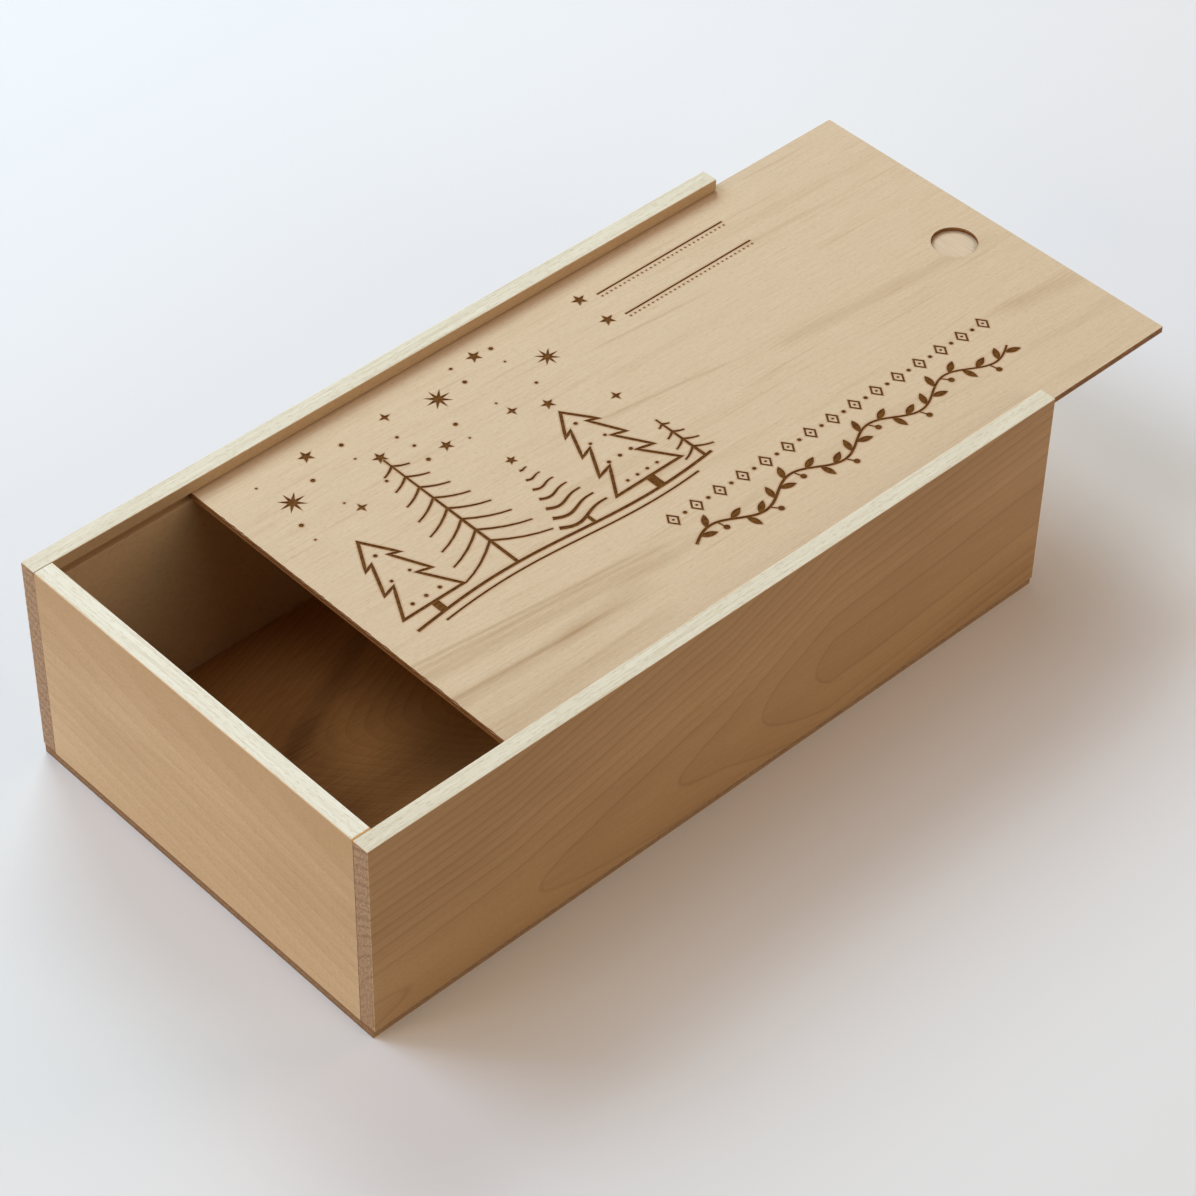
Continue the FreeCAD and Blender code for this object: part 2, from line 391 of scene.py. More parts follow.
def board_wood(node, board):
    """Planed pale wood: ring lines, fine flecks along the grain, mottled end grain, and paler top edges as a
    painted lit copy of the wood.
    """
    fleck_strength = 0.18
    mottle_strength = 0.18
    inner_contrast = 0.02
    rings_full_to = 3.0
    inner_from = 6.0
    inner_by = 7.5
    rim_depth = 2.0
    wear_depth = 2.0
    joint_depth = 2.5
    blend = 1.0
    outer_face, _ = span(node, board.inward)
    _, top = span(node, UP)
    sh = Shading(node + "_wood")
    vector, along, depth, height = board_axes(sh, board, outer_face)
    line, late = growth_rings(sh, board.rings, vector, along, depth, height)
    broad = sh.noise(vector, (0.006, 0.03, 0.022))
    fibre = sh.noise(vector, (0.03, 1.3, 1.3), detail=3.0, roughness=0.6)
    fleck = sh.fade(sh.noise(vector, (0.3, 2.4, 2.4), detail=1.0), 0.54, 0.72)
    mottle = sh.fade(sh.noise(vector, (0.6, 1.3, 1.3), detail=4.0, roughness=0.75), 0.38, 0.7)

    # Painted shade and light: the wood's colour deepens towards the top and pales towards the foot.
    half_painted_shade = board.painted_head_shade / 2
    shade = sh.math("MULTIPLY_ADD", fibre, 0.5, sh.math("MULTIPLY", broad, 0.9))
    shade = sh.math("ADD", shade, sh.ramp(height, 0.0, top, -half_painted_shade, half_painted_shade))
    shade = sh.fade(sh.math("MULTIPLY_ADD", late, 0.12, shade), 0.35, 1.1)
    colour = sh.mix(shade, board.tones.pale, board.tones.deep)
    colour = sh.mix(sh.fade(depth, inner_from, inner_by), colour, INNER_PALE)
    colour = sh.tint(colour, fleck, fleck_strength, RING_LINE)
    colour = sh.tint(colour, mottle, mottle_strength, RING_LINE)
    contrast = sh.fade(depth, rings_full_to, inner_from, board.contrast, inner_contrast)
    uneven = sh.math("MULTIPLY", sh.ramp(broad, 0.3, 0.7, 0.6, 1.2), contrast)
    colour = sh.tint(colour, line, uneven, RING_LINE)

    facing = sh.facing()
    # Painted light: the top edge takes a paler, lit copy of the wood's colour.
    rim_grain = sh.fade(sh.math("MULTIPLY_ADD", fleck, 0.35, fibre), 0.3, 0.95)
    rim = sh.mix(rim_grain, board.tones.painted_lit_rim_pale, board.tones.painted_lit_rim_deep)
    on_top = sh.fade(height, top - rim_depth, top - rim_depth + blend)
    colour = sh.tint(colour, sh.squarely(facing["Z"]), on_top, rim)

    pores = sh.noise(vector, (0.9, 0.9, 0.9), detail=3.0, roughness=0.65)
    pores = sh.fade(sh.math("MULTIPLY_ADD", line, 0.12, pores), 0.35, 0.7)
    ends = sh.mix(pores, END_GRAIN_PALE, END_GRAIN_DEEP)
    lengthwise = sh.dot(sh.place.outputs["Normal"], board.along)
    sawn = sh.squarely(sh.math("ABSOLUTE", lengthwise))
    colour = sh.mix(sawn, colour, ends)
    near_face = sh.fade(depth, wear_depth - blend, wear_depth, 1.0, 0.0)
    exposed = sh.math("MAXIMUM", on_top, near_face)
    colour = worn_and_highlit_arrises(sh, colour, facing, pores, exposed)
    if board.open_joints:
        _, joint = span(node, board.along)
        near_top = sh.fade(height, top - joint_depth, top - joint_depth + blend)
        colour = joint_lines(sh, colour, along, joint, near_top, pores)

    relief = sh.math("MULTIPLY_ADD", line, -0.3, fibre)
    relief = sh.math("MULTIPLY_ADD", sawn, pores, relief)
    return sh.finish(colour, sh.ramp(fibre, 0.2, 0.8, 0.5, 0.68), relief, relief_depth=0.06)


def worn_and_highlit_arrises(sh, colour, facing, pores, exposed):
    """Paler, broken fibres and a painted highlight on the exposed rounded edges, where a face turns away from
    all three axes.
    """
    wear_and_highlight = 0.8
    steepest = sh.math("MAXIMUM", sh.math("ABSOLUTE", facing["X"]), sh.math("ABSOLUTE", facing["Y"]))
    steepest = sh.math("MAXIMUM", steepest, sh.math("ABSOLUTE", facing["Z"]))
    arris = sh.math("MULTIPLY", exposed, sh.fade(steepest, 0.8, 0.97, wear_and_highlight, 0.0))
    return sh.tint(colour, arris, sh.ramp(pores, 0.0, 1.0, 1.0, 0.5), WORN_AND_HIGHLIT_ARRIS)


def joint_lines(sh, colour, along, joint, near_top, pores):
    """The top of the closed end's two joints: an open gap at the rear, a line of dried glue at the front."""
    gap_width = 0.45
    glue_from = 0.9
    glue_by = 0.3
    raggedness = 0.5
    gap = sh.fade(along, -joint, gap_width - joint, 1.0, 0.0)
    ragged = sh.math("MULTIPLY_ADD", pores, raggedness, along)
    glue = sh.fade(ragged, joint - glue_from, joint - glue_by)
    colour = sh.tint(colour, gap, near_top, JOINT_GAP)
    return sh.tint(colour, glue, near_top, GLUE_LINE)


class Streak(NamedTuple):
    """A darker streak in a veneer, from one place to another, fading out within its reach to each side."""

    start: tuple
    end: tuple
    reach: float
    strength: float


LID_STREAKS = (
    Streak((-130, -34), (14, -50), 1.6, 0.34),
    Streak((-130, -37), (30, -54), 2.2, 0.3),
    Streak((-130, -42), (24, -58), 6.0, 0.28),
    Streak((-130, -58), (-10, -66), 2.0, 0.34),
    Streak((-130, -61), (0, -66), 7.0, 0.28),
    Streak((-60, -62), (80, -54), 5.0, 0.14),
    Streak((-130, -80), (0, -77), 2.0, 0.16),
    Streak((-130, -84), (0, -80), 6.0, 0.16),
    Streak((30, 19), (125, 5), 1.4, 0.26),
    Streak((66, 51), (140, 45), 1.4, 0.26),
    Streak((-10, -17), (75, -24), 3.0, 0.2),
    Streak((150, 58), (225, 54), 2.4, 0.2),
    Streak((120, 3), (260, -9), 6.0, 0.2),
    Streak((205, -44), (270, -52), 7.0, 0.25),
)

# A darker streak and broad darker patches over the inner veneer of the bottom, towards the closed end.
INNER_DARK_PATCHES = (
    Streak((-130, 22), (20, 92), 9.0, 0.36),
    Streak((-142, -6), (-78, 50), 46.0, 0.55),
    Streak((-170, -18), (-40, -10), 28.0, 0.55),
)
INNER_RINGS = Rings(
    centre=-12.0,
    tilt=-0.35,
    drifts=((-130, 40, -22.0),),
    seed=0.4,
    pith_depth=9.0,
    spacing=5.0,
)


class VeneerTones(NamedTuple):
    """Colours of a veneer's face, and of its sawn edges across and along the grain."""

    pale: tuple
    deep: tuple
    dark: tuple
    end_edge: tuple
    side_edge: tuple


class CoreTones(NamedTuple):
    """Colours of a middle ply, where it lies open and on its sawn edges."""

    floor_pale: tuple
    floor_deep: tuple
    edge_pale: tuple
    edge_deep: tuple


BOTTOM_TONES = VeneerTones(
    pale=tone(182, 143, 96),
    deep=tone(165, 124, 80),
    dark=tone(102, 71, 42),
    end_edge=tone(170, 136, 104),
    # Paler than the sawn edge's own colour: painted light on the recessed bottom edge along the sides, which
    # lies in shade; the inner veneer keeps it too.
    side_edge=tone(206, 162, 116),
)
INNER_TONES = BOTTOM_TONES._replace(
    pale=tone(200, 144, 82),
    deep=tone(182, 125, 68),
    dark=tone(118, 77, 40),
)
LID_TONES = VeneerTones(
    pale=tone(223, 202, 172),
    deep=tone(205, 180, 147),
    dark=tone(165, 132, 90),
    # The lid's sawn edges are partly the plies' own darker cut edge and partly painted shade on the notch's
    # wall.
    end_edge=tone(152, 104, 62),
    side_edge=tone(128, 88, 54),
)
BOTTOM_CORE_TONES = CoreTones(
    floor_pale=BOTTOM_TONES.pale,
    floor_deep=BOTTOM_TONES.deep,
    edge_pale=tone(172, 138, 104),
    edge_deep=tone(138, 106, 76),
)
LID_CORE_TONES = CoreTones(
    floor_pale=tone(225, 206, 178),
    floor_deep=tone(211, 188, 158),
    # The core's edges are partly the ply's darker end grain and partly painted shade on the notch's wall.
    edge_pale=tone(150, 98, 54),
    edge_deep=tone(106, 68, 36),
)


def streak_shade(sh, x, y, streak):
    """How strongly one streak shows at a place."""
    taper = 16.0
    (first_x, first_y), (last_x, last_y) = streak.start, streak.end
    slope = (last_y - first_y) / (last_x - first_x)
    middle = sh.math("MULTIPLY_ADD", x, slope, first_y - slope * first_x)
    away = sh.math("ABSOLUTE", sh.math("SUBTRACT", y, middle))
    across = sh.fade(away, 0.0, streak.reach, streak.strength, 0.0)
    begun = sh.fade(x, first_x, first_x + taper)
    unended = sh.fade(x, last_x - 2 * taper, last_x, 1.0, 0.0)
    return sh.math("MULTIPLY", across, sh.math("MULTIPLY", begun, unended))


def veneer_wood(name, tones, shift=0.0, streaks=(), rings=None, burnt=False):
    """Rotary-cut veneer: short flecks, slow tan bands along the length, and a browner sawn edge.

    The shift, in millimetres, takes the grain from another stretch of the log.
    """
    lean = 0.035
    grain_sway = 5.0
    streak_sway = 3.0
    fleck_strength = 0.22
    mottle_strength = 0.1
    band_strength = 0.2 if streaks else 0.42
    sh = Shading(name)
    place = sh.node("VectorMath", {0: sh.millimetres(), 1: (shift, shift, 0)}).outputs[0]
    x, y, z = sh.node("SeparateXYZ", {0: place}).outputs
    swell = sh.noise(place, (0.008, 0.012, 0.0))
    leaning = sh.math("MULTIPLY_ADD", swell, grain_sway, sh.math("MULTIPLY_ADD", x, lean, y))
    grain = sh.node("CombineXYZ", {"X": x, "Y": leaning}).outputs[0]
    bands = sh.noise(grain, (0.0035, 0.075, 1.0), detail=3.0, roughness=0.6)
    bands = sh.fade(bands, 0.5, 0.78, 0.0, band_strength)
    wisps = sh.fade(sh.noise(grain, (0.012, 0.32, 1.0), detail=2.0), 0.56, 0.8)
    fibre = sh.noise(grain, (0.05, 1.6, 1.0), detail=3.0, roughness=0.65)
    fleck = sh.fade(sh.noise(grain, (0.36, 2.8, 1.0), detail=1.0), 0.52, 0.74)
    mottle = sh.fade(sh.noise(grain, (0.6, 1.3, 1.0), detail=4.0, roughness=0.75), 0.4, 0.7)

    shade = sh.fade(sh.math("MULTIPLY_ADD", fibre, 0.8, sh.math("MULTIPLY", wisps, 0.25)), 0.2, 0.85)
    colour = sh.mix(shade, tones.pale, tones.deep)
    colour = sh.tint(colour, fleck, fleck_strength, tones.dark)
    colour = sh.tint(colour, mottle, mottle_strength, tones.dark)
    wavy = sh.math("MULTIPLY_ADD", swell, streak_sway, sh.math("SUBTRACT", y, streak_sway / 2))
    for streak in streaks:
        bands = sh.math("ADD", bands, streak_shade(sh, x, wavy, streak))
    colour = sh.tint(colour, bands, sh.ramp(fibre, 0.2, 0.8, 0.7, 1.3), tones.dark)
    if rings:
        line, late = growth_rings(sh, rings, place, x, z, y)
        figure = sh.math("MAXIMUM", sh.math("MULTIPLY", line, 0.2), sh.math("MULTIPLY", late, 0.1))
        colour = sh.mix(figure, colour, tones.dark)

    facing = sh.facing()
    pores = sh.noise(sh.millimetres(), (1.1, 1.1, 1.1), detail=2.0)
    lengthwise = sh.squarely(sh.math("ABSOLUTE", facing["X"]))
    cut_edge = sh.mix(lengthwise, tones.side_edge, tones.end_edge)
    cut_edge = sh.tint(cut_edge, pores, 0.8, tones.dark)
    colour = sh.mix(sh.squarely(sh.math("ABSOLUTE", facing["Z"])), cut_edge, colour)
    if burnt:
        colour = burnt_lines(sh, colour)
    relief = sh.math("MULTIPLY_ADD", fleck, -0.4, fibre)
    roughness = sh.ramp(fibre, 0.2, 0.8, 0.58, 0.76)
    return sh.finish(colour, roughness, relief, relief_depth=0.05, specular=0.1)


def burnt_lines(sh, colour):
    """Char in the burnt lines and scorch round them, by the measure of burning that the mesh carries."""
    burn = sh.node("Attribute", {}, attribute_name="burn").outputs["Fac"]
    soot = sh.noise(sh.millimetres(), (0.5, 0.9, 0.9), detail=3.0)
    char = sh.mix(sh.fade(soot, 0.35, 0.65), CHAR_DARK, CHAR_PALE)
    scorched = sh.mix(burn, colour, SCORCH)
    return sh.mix(sh.fade(burn, 0.45, 0.9), scorched, char)


def core_wood(name, tones, notch=None):
    """Middle ply: its grain runs across the board, its sawn edges are darker and mottled.

    A notch, given by its centre, has a ring of brown cutter marks and painted shadow on the floor at the foot
    of its wall.
    """
    mark_and_shadow_strength = 0.4
    sh = Shading(name)
    place = sh.millimetres()
    fibre = sh.noise(place, (1.5, 0.05, 1.5), detail=3.0, roughness=0.6)
    floor = sh.mix(sh.fade(fibre, 0.3, 0.7), tones.floor_pale, tones.floor_deep)
    if notch:
        flat_place = sh.scaled(place, (1.0, 1.0, 0.0))
        away = sh.node("VectorMath", {0: flat_place, 1: notch.to_3d()}, operation="DISTANCE").outputs["Value"]
        wall = NOTCH_DIAMETER / 2
        # Cutter marks and painted shadow: the notch floor browns towards its wall.
        marks = sh.fade(away, wall - CUTTER_MARK_AND_SHADOW_REACH, wall, 0.0, mark_and_shadow_strength)
        floor = sh.mix(marks, floor, CUTTER_MARK_AND_SHADOW)
    pores = sh.noise(place, (0.5, 0.5, 1.8), detail=3.0, roughness=0.65)
    edge = sh.mix(sh.fade(pores, 0.35, 0.65), tones.edge_pale, tones.edge_deep)
    flat = sh.squarely(sh.math("ABSOLUTE", sh.facing()["Z"]))
    colour = sh.mix(flat, edge, floor)
    roughness = sh.ramp(pores, 0.2, 0.8, 0.6, 0.75)
    return sh.finish(colour, roughness, sh.math("ADD", fibre, pores), relief_depth=0.06)


def drawn_steel(name):
    """Bright wire with fine turned marks and a little grime."""
    sh = Shading(name)
    place = sh.millimetres()
    marks = sh.noise(place, (6.0, 6.0, 0.8), detail=2.0)
    grime = sh.fade(sh.noise(place, (0.9, 0.9, 0.9)), 0.45, 0.75)
    colour = sh.mix(grime, WIRE_BRIGHT, WIRE_GRIMY)
    sh.shader.inputs["Metallic"].default_value = 1.0
    return sh.finish(colour, sh.ramp(marks, 0.3, 0.7, 0.28, 0.45), marks, 0.02, specular=0.5)


def pale_floor(name):
    """Plain matt studio paper."""
    sh = Shading(name)
    clouds = sh.noise(sh.millimetres(), (0.002, 0.002, 0.002))
    tooth = sh.noise(sh.millimetres(), (0.8, 0.8, 0.8))
    colour = sh.mix(clouds, PAPER_PALE, PAPER_DEEP)
    return sh.finish(colour, sh.ramp(tooth, 0.3, 0.7, 0.8, 0.9), tooth, 0.01, specular=0.1)


class Drawing:
    """Burnt lines and shapes in millimetres: polygons, and the outlines of their scorched rims."""

    def __init__(self):
        self.polygons = []
        self.rims = []

    def fill(self, outline):
        """One closed shape, given anticlockwise."""
        self.polygons.append(outline)
        count = len(outline)
        rim = []
        for i, point in enumerate(outline):
            run = outline[(i + 1) % count] - outline[i - 1]
            rim.append(point + Vector((run.y, -run.x)).normalized() * SCORCH_REACH)
        self.rims.append(rim)

    def stroke(self, points, start_width, end_width):
        """A line along points, as one mitred quad a step."""
        bluntest = 0.5
        last = len(points) - 1
        lefts = []
        rights = []
        left_rim = []
        right_rim = []
        for i, point in enumerate(points):
            ahead = (points[min(i + 1, last)] - point).normalized()
            behind = (point - points[max(i - 1, 0)]).normalized()
            heading = (ahead + behind).normalized()
            side = Vector((-heading.y, heading.x))
            straightest = max(heading.dot(ahead), heading.dot(behind), bluntest)
            half = (start_width + (end_width - start_width) * i / last) / 2 / straightest
            lefts.append(point + side * half)
            rights.append(point - side * half)
            left_rim.append(point + side * (half + SCORCH_REACH))
            right_rim.append(point - side * (half + SCORCH_REACH))
        first_cap = points[0] - (points[1] - points[0]).normalized() * SCORCH_REACH
        last_cap = points[last] + (points[last] - points[last - 1]).normalized() * SCORCH_REACH
        self.rims.append([first_cap] + right_rim + [last_cap] + left_rim[::-1])
        for i in range(last):
            self.polygons.append([rights[i], rights[i + 1], lefts[i + 1], lefts[i]])

    def loop(self, points, width=LINE_WIDTH):
        """A closed line."""
        self.stroke(points + points[:2], width, width)

    def disc(self, centre, radius):
        fewest_steps = 10
        steps_per_mm = 12
        steps = max(fewest_steps, int(radius * steps_per_mm))
        self.fill([centre + turned(radius, 360 * i / steps) for i in range(steps)])

    def star(self, centre, radius, points, waist):
        """A filled star with one point up, its inner corners at a share of its radius."""
        first_point = 90.0
        outline = []
        for i in range(2 * points):
            reach = radius if i % 2 == 0 else radius * waist
            outline.append(centre + turned(reach, first_point + 180 * i / points))
        self.fill(outline)

    def leaf(self, base, heading, length, width):
        """A filled almond-shaped leaf."""
        steps = 9
        fullness = 0.85
        along = turned(1.0, heading)
        side = turned(1.0, heading + 90)
        edge = []
        for i in range(steps + 1):
            off = width / 2 * math.sin(math.pi * i / steps) ** fullness
            edge.append((length * i / steps, off))
        lower = [base + along * run - side * off for run, off in edge]
        upper = [base + along * run + side * off for run, off in edge[-2:0:-1]]
        self.fill(lower + upper)


def turned(length, degrees):
    """A flat vector of a length, at an angle from the X axis."""
    return Vector((length * math.cos(math.radians(degrees)), length * math.sin(math.radians(degrees))))


def between(first, second):
    """Points evenly spaced from one to the other, about STEP apart."""
    steps = max(1, round((second - first).length / STEP))
    return [first.lerp(second, i / steps) for i in range(steps + 1)]


def spread(first, last, steps):
    """Numbers evenly spaced from one to the other."""
    return [first + (last - first) * i / steps for i in range(steps + 1)]


def sprig_tree(drawing, foot, height, tiers):
    """A fir drawn as a stem with hanging branches."""
    crown = 0.84
    widest = height * 0.30
    narrowest = 0.22
    drawing.stroke(between(foot, foot + Vector((0, height))), 1.6, 0.9)
    for tier in range(tiers):
        share = (tier + 0.6) / tiers
        start = foot + Vector((0, height * (1.0 - crown * share)))
        reach = widest * (narrowest + (1 - narrowest) * share)
        for side in (-1, 1):
            branch = []
            for t in spread(0, 1, 4):
                droop = reach * (0.75 * t - 0.25 * t * t)
                branch.append(start + Vector((side * reach * t, -droop)))
            drawing.stroke(branch, 1.2, 0.8)


def tiered_tree(drawing, foot, height, tiers):
    """A fir drawn as an outline of stacked skirts, with a trunk and dots."""
    trunk = height * 0.12
    half_trunk = height * 0.035
    widest = height * 0.3
    narrowest = 0.35
    tuck = 0.5
    trunk_corners = ((-half_trunk, 0), (half_trunk, 0), (half_trunk, trunk), (-half_trunk, trunk))
    drawing.fill([foot + Vector(corner) for corner in trunk_corners])
    top = height - trunk
    right = [Vector((0, height))]
    for tier in range(1, tiers + 1):
        share = tier / tiers
        reach = widest * (narrowest + (1 - narrowest) * share)
        level = height - top * share
        right.append(Vector((reach, level)))
        if tier < tiers:
            right.append(Vector((reach * tuck, level + top * 0.04)))
    outline = []
    corners = right + [Vector((-p.x, p.y)) for p in reversed(right[1:])]
    for i, corner in enumerate(corners):
        after = corners[(i + 1) % len(corners)]
        outline += between(foot + corner, foot + after)[:-1]
    drawing.loop(outline)
    tiered_dots(drawing, foot, height, top, tiers)


def tiered_dots(drawing, foot, height, top, tiers):
    """A row of dots on each skirt, one more on each below."""
    widest_row = height * 0.136
    for tier in range(1, tiers + 1):
        level = height - top * (tier - 0.3) / tiers
        reach = widest_row * tier / tiers
        for i in range(tier):
            off = reach * (2 * i / (tier - 1) - 1) if tier > 1 else 0.0
            drawing.disc(foot + Vector((off, level)), 0.75 + 0.15 * (tier % 2))


def banded_tree(drawing, foot, height, bands):
    """A fir drawn as a cone of swinging bands over a short trunk."""
    trunk = height * 0.1
    widest = height * 0.27
    drawing.stroke(between(foot, foot + Vector((0, trunk))), 1.6, 1.6)
    cone = height - trunk
    for band in range(bands):
        share = band / bands
        level = trunk + cone * band / bands
        reach = widest * (1 - share)
        thick = 1.9 - 0.9 * share
        swing = []
        for t in spread(-1, 1, 12):
            rise = reach * (0.16 * t * t + 0.12 * math.sin(3 * t))
            swing.append(foot + Vector((reach * t, level + rise)))
        drawing.stroke(swing, thick, thick * 0.5)
    drawing.star(foot + Vector((0, height + 1.0)), radius=2.6, points=5, waist=0.45)


def winter_wood(drawing):
    """A row of firs on low ground under stars."""
    west = -90.0
    east = 62.0
    level = -24.0
    rise = 3.0
    stretch = 26.0

    def ground(x):
        return level + rise * math.sin((x - west) / stretch)

    for drop, width in ((0.0, 1.4), (4.0, 0.9)):
        line = [Vector((x, ground(x) - drop)) for x in spread(west + 3 * drop, east - 3 * drop, 90)]
        drawing.stroke(line, width, width)
    firs = (
        (tiered_tree, -75.0, 50.0, 3),
        (sprig_tree, -37.0, 78.0, 8),
        (banded_tree, 0.0, 47.0, 7),
        (tiered_tree, 33.5, 58.0, 4),
        (sprig_tree, 58.5, 28.0, 4),
    )
    above_ground = 0.4
    for fir, x, height, parts in firs:
        fir(drawing, Vector((x, ground(x) + above_ground)), height, parts)
    winter_sky(drawing, west, east)


def winter_sky(drawing, west, east):
    """Stars of several kinds, with small dots between them."""
    stars = (
        (-79.0, 62.0, 6.0, 8),
        (-61.0, 42.0, 2.8, 4),
        (-58.0, 79.0, 3.6, 5),
        (-37.0, 59.0, 3.4, 5),
        (-20.0, 76.0, 2.8, 4),
        (-13.0, 47.0, 3.2, 5),
        (3.0, 70.0, 6.0, 8),
        (20.0, 45.0, 2.8, 4),
        (33.5, 38.5, 3.2, 5),
        (31.0, 80.0, 3.6, 5),
        (53.0, 60.0, 5.4, 8),
        (57.0, 24.0, 2.8, 4),
    )
    for x, y, radius, points in stars:
        drawing.star(Vector((x, y)), radius, points, STAR_WAISTS[points])
    dots = 26
    margin = 4
    sky_foot = 40.0
    sky_height = 46
    stride_x = 61.8
    stride_y = 23.7
    clear = 3
    for i in range(dots):
        x = west + margin + (i * stride_x) % (east - west - 2 * margin)
        y = sky_foot + (i * stride_y) % sky_height
        place = Vector((x, y))
        if all((place - Vector((star[0], star[1]))).length > star[2] + clear for star in stars):
            drawing.disc(place, 0.5 + 0.25 * (i % 3))


def blank_lines(drawing):
    """Two ruled lines to write on, each after a small star."""
    west = 95.0
    east = 167.0
    star_gap = 8.0
    off_line = 2.2
    for level in (75.5, 58.5):
        star_place = Vector((west - star_gap, level + off_line))
        drawing.star(star_place, radius=3.6, points=5, waist=STAR_WAISTS[5])
        drawing.stroke(between(Vector((west, level)), Vector((east, level))), 0.8, 0.8)
        for x in spread(west + 1, east - 1, 28):
            drawing.disc(Vector((x, level - off_line)), 0.4)


def garland(drawing):
    """A border of lozenges over a winding stem with leaves and berries."""
    west = 20.0
    east = 202.0
    level = -44.0
    for i, x in enumerate(spread(west + 3, east - 3, 28)):
        centre = Vector((x, level))
        if i % 2:
            drawing.disc(centre, 0.9)
        else:
            lozenge(drawing, centre)
    leafy_stem(drawing, west, east)


def lozenge(drawing, centre):
    """An upright lozenge with a dot in it."""
    half_width = 2.4
    half_height = 3.4
    corners = [centre + turned(half_height if k % 2 else half_width, 90 * k) for k in range(4)]
    ring = []
    for k in range(4):
        ring += between(corners[k], corners[(k + 1) % 4])[:-1]
    drawing.loop(ring, 0.8)
    drawing.disc(centre, 0.55)


def leafy_stem(drawing, west, east):
    """A winding stem, with leaves to both sides and a berry on a stalk in place of every fourth leaf."""
    level = -60.0
    wave = 44.0
    rise = 4.2
    ahead = 0.5
    leaf_angle = 48
    stalk_angle = 62

    def stem(x):
        return Vector((x, level + rise * math.sin(2 * math.pi * (x - west) / wave)))

    drawing.stroke([stem(x) for x in spread(west, east - 6, 150)], 1.3, 0.9)
    for i, x in enumerate(spread(west + 4, east - 10, 32)):
        base = stem(x)
        run = stem(x + ahead) - base
        heading = math.degrees(math.atan2(run.y, run.x))
        side = 1 if i % 2 else -1
        if i % 4 == 2:
            stalk_heading = heading + side * stalk_angle
            drawing.stroke(between(base, base + turned(3.6, stalk_heading)), 0.7, 0.6)
            drawing.disc(base + turned(4.6, stalk_heading), 1.35)
        else:
            drawing.leaf(base, heading + side * leaf_angle, length=7.6, width=3.0)


def anticlockwise(polygon):
    area = sum(a.x * b.y - b.x * a.y for a, b in zip(polygon, polygon[1:] + polygon[:1]))
    return polygon if area > 0 else polygon[::-1]


def notch_centre():
    """The middle of the thumb notch on the lid, in millimetres."""
    low, high = (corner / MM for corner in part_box("lid_face_veneer"))
    return Vector((high.x - NOTCH_FROM_END, (low.y + high.y) / 2))


def ragged_outline(low, high, dice):
    """The veneer's outline in millimetres, its inner end a little torn by the saw."""
    steps = 120
    tear = 0.35
    corners = ((low.x, low.y), (high.x, low.y), (high.x, high.y), (low.x, high.y))
    outline = [Vector(corner) for corner in corners]
    for i in range(1, steps):
        y = high.y + (low.y - high.y) * i / steps
        outline.append(Vector((low.x + tear * dice.random() ** 3, y)))
    return outline


def flat_pattern(sheet, notch, drawing):
    """The sheet cut along the drawing: its points, plain and burnt triangles, and each point's sources."""
    points = []
    faces = []
    for outline in [sheet, notch] + [anticlockwise(polygon) for polygon in drawing.polygons]:
        faces.append(list(range(len(points), len(points) + len(outline))))
        points += outline
    rim_edges = []
    for outline in drawing.rims:
        first = len(points)
        points += outline
        rim_edges += [(first + i, first + (i + 1) % len(outline)) for i in range(len(outline))]
    flat = delaunay_2d_cdt(points, rim_edges, faces, ALL_TRIANGLES, MERGE_WITHIN, True)
    places, _, triangles, sources, _, owners = flat
    plain = []
    burnt = []
    for triangle, owner in zip(triangles, owners):
        if SHEET in owner and NOTCH not in owner:
            group = burnt if len(owner) > 1 else plain
            group.append(triangle)
    return places, plain, burnt, sources


def burnt_edge(places, plain, burnt):
    """The points between plain and burnt triangles, ready to find the nearest."""
    edge_points = {i for t in burnt for i in t} & {i for t in plain for i in t}
    nearest = KDTree(len(edge_points))
    for i in sorted(edge_points):
        nearest.insert(places[i].to_3d(), i)
    nearest.balance()
    return nearest


def engraved_veneer(drawing):
    """The lid's face veneer with the drawing burnt into it, made from one flat triangulation."""
    low, high = (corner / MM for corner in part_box("lid_face_veneer"))
    centre = notch_centre()
    notch = [centre + turned(NOTCH_DIAMETER / 2, 360 * i / NOTCH_STEPS) for i in range(NOTCH_STEPS)]
    sheet = ragged_outline(low, high, random.Random(TEAR_SEED))
    places, plain, burnt, sources = flat_pattern(sheet, notch, drawing)
    nearest = burnt_edge(places, plain, burnt)
    burnt_level = high.z - BURN_DEPTH
    mesh = bmesh.new()
    burn = mesh.verts.layers.float.new("burn")
    made = {}

    def vertex(i, level):
        if (i, level) not in made:
            v = mesh.verts.new(Vector((places[i].x, places[i].y, level)) * MM)
            if level == high.z:
                away = nearest.find(places[i].to_3d())[2]
                v[burn] = SCORCH_AT_EDGE * max(0.0, 1 - away / SCORCH_REACH)
            elif level == burnt_level:
                v[burn] = 1.0
            made[i, level] = v
        return made[i, level]

    def wall(a, b, top, bottom):
        mesh.faces.new([vertex(b, top), vertex(a, top), vertex(a, bottom), vertex(b, bottom)])

    levels = {}
    for level, group in ((high.z, plain), (burnt_level, burnt)):
        for triangle in group:
            mesh.faces.new([vertex(i, level) for i in triangle])
            for i, a in enumerate(triangle):
                levels[a, triangle[(i + 1) % 3]] = level
    for (a, b), level in levels.items():
        beside = levels.get((b, a))
        if beside is None:
            wall(a, b, level, low.z)
        elif beside < level:
            wall(a, b, level, beside)
    found = {source: i for i, given in enumerate(sources) for source in given}
    for triangle in underside(sheet, notch):
        mesh.faces.new([vertex(found[source], low.z) for source in reversed(triangle)])
    return finished_mesh("lid_face_burnt", mesh)


